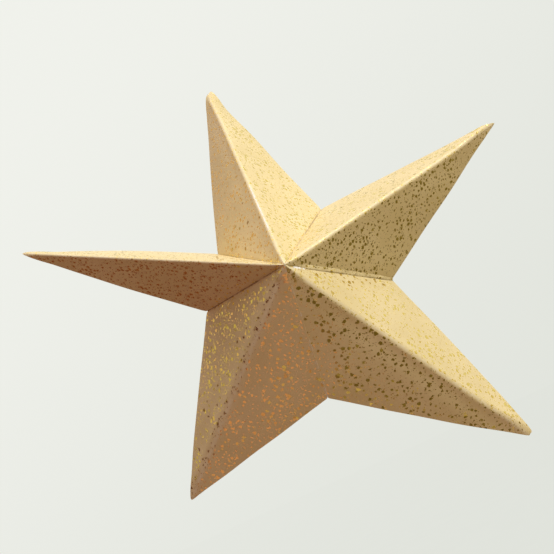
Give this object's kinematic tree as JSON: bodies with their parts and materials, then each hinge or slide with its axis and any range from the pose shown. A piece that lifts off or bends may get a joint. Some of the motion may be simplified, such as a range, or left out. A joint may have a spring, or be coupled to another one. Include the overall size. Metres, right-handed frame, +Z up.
{
  "type": "folded paper star",
  "caption": "Five-pointed half-relief star folded from gold-flecked cream card, ridged arms and sunken valleys, hollow back.",
  "frame": {"origin": "the apex, where all ten crease lines meet at the middle of the card's thickness", "axes": "+Z up along arm 1 as the star hangs, front facing -Y, hollow back facing +Y, +X to the viewer's right"},
  "size_m": [0.1052, 0.0371, 0.1008],
  "materials": {
    "card": "satin cream card with gold foil flecks",
    "fold": "rounded, slightly worn fold",
    "tab": "uncoated off-white card",
    "glue": "dried craft glue"
  },
  "bodies": {
    "arm_3_right": {"arm_3_right_panel": "card", "ridge_fold_3": "fold", "valley_fold_34": "fold"},
    "arm_3_left": {"arm_3_left_panel": "card", "seam_fold": "fold", "seam_glue": "glue", "seam_tab": "tab"},
    "arm_4_left": {"arm_4_left_panel": "card", "ridge_fold_4": "fold"},
    "arm_4_right": {"arm_4_right_panel": "card", "valley_fold_45": "fold"},
    "arm_5_left": {"arm_5_left_panel": "card", "ridge_fold_5": "fold"},
    "arm_5_right": {"arm_5_right_panel": "card", "valley_fold_51": "fold"},
    "arm_1_left": {"arm_1_left_panel": "card", "ridge_fold_1": "fold"},
    "arm_1_right": {"arm_1_right_panel": "card", "valley_fold_12": "fold"},
    "arm_2_left": {"arm_2_left_panel": "card", "ridge_fold_2": "fold"},
    "arm_2_right": {"arm_2_right_panel": "card"}
  },
  "joints": [
    {"name": "ridge_fold_3_hinge", "type": "hinge", "parent": "arm_3_right", "child": "arm_3_left", "pos_m": [0, 0, 0], "axis": [0.4926, 0.4223, -0.7609], "range_deg": [0, 75.07]},
    {"name": "valley_fold_34_hinge", "type": "hinge", "parent": "arm_3_right", "child": "arm_4_left", "pos_m": [0, 0, 0], "axis": [-0.1052, 0.5697, -0.8151], "range_deg": [-10.1, 0]},
    {"name": "ridge_fold_4_hinge", "type": "hinge", "parent": "arm_4_left", "child": "arm_4_right", "pos_m": [0, 0, 0], "axis": [-0.6382, 0.5832, -0.5025], "range_deg": [-51.6, 0]},
    {"name": "valley_fold_45_hinge", "type": "hinge", "parent": "arm_4_right", "child": "arm_5_left", "pos_m": [0, 0, 0], "axis": [-0.6234, 0.7773, 0.084], "range_deg": [0, 57.7]},
    {"name": "ridge_fold_5_hinge", "type": "hinge", "parent": "arm_5_left", "child": "arm_5_right", "pos_m": [0, 0, 0], "axis": [-0.8045, 0.3431, 0.4848], "range_deg": [-139.6, 0], "stiffness_Nm_per_rad": 0.05},
    {"name": "valley_fold_51_hinge", "type": "hinge", "parent": "arm_5_right", "child": "arm_1_left", "pos_m": [0, 0, 0], "axis": [-0.4044, 0.8103, 0.4242], "range_deg": [0, 79.9]},
    {"name": "ridge_fold_1_hinge", "type": "hinge", "parent": "arm_1_left", "child": "arm_1_right", "pos_m": [0, 0, 0], "axis": [0, 0.5673, 0.8235], "range_deg": [-95.5, 0]},
    {"name": "valley_fold_12_hinge", "type": "hinge", "parent": "arm_1_right", "child": "arm_2_left", "pos_m": [0, 0, 0], "axis": [0.3858, 0.8241, 0.4146], "range_deg": [0, 55.7]},
    {"name": "ridge_fold_2_hinge", "type": "hinge", "parent": "arm_2_left", "child": "arm_2_right", "pos_m": [0, 0, 0], "axis": [0.8544, 0.4603, 0.2413], "range_deg": [-106.05, 0]}
  ],
  "couplings": [
    {"joint": "ridge_fold_3_hinge", "follows": "ridge_fold_5_hinge", "ratio": -0.53775},
    {"joint": "valley_fold_34_hinge", "follows": "ridge_fold_5_hinge", "ratio": 0.07235},
    {"joint": "ridge_fold_4_hinge", "follows": "ridge_fold_5_hinge", "ratio": 0.36963},
    {"joint": "valley_fold_45_hinge", "follows": "ridge_fold_5_hinge", "ratio": -0.41332},
    {"joint": "valley_fold_51_hinge", "follows": "ridge_fold_5_hinge", "ratio": -0.57235},
    {"joint": "ridge_fold_1_hinge", "follows": "ridge_fold_5_hinge", "ratio": 0.6841},
    {"joint": "valley_fold_12_hinge", "follows": "ridge_fold_5_hinge", "ratio": -0.399},
    {"joint": "ridge_fold_2_hinge", "follows": "ridge_fold_5_hinge", "ratio": 0.75964}
  ]
}
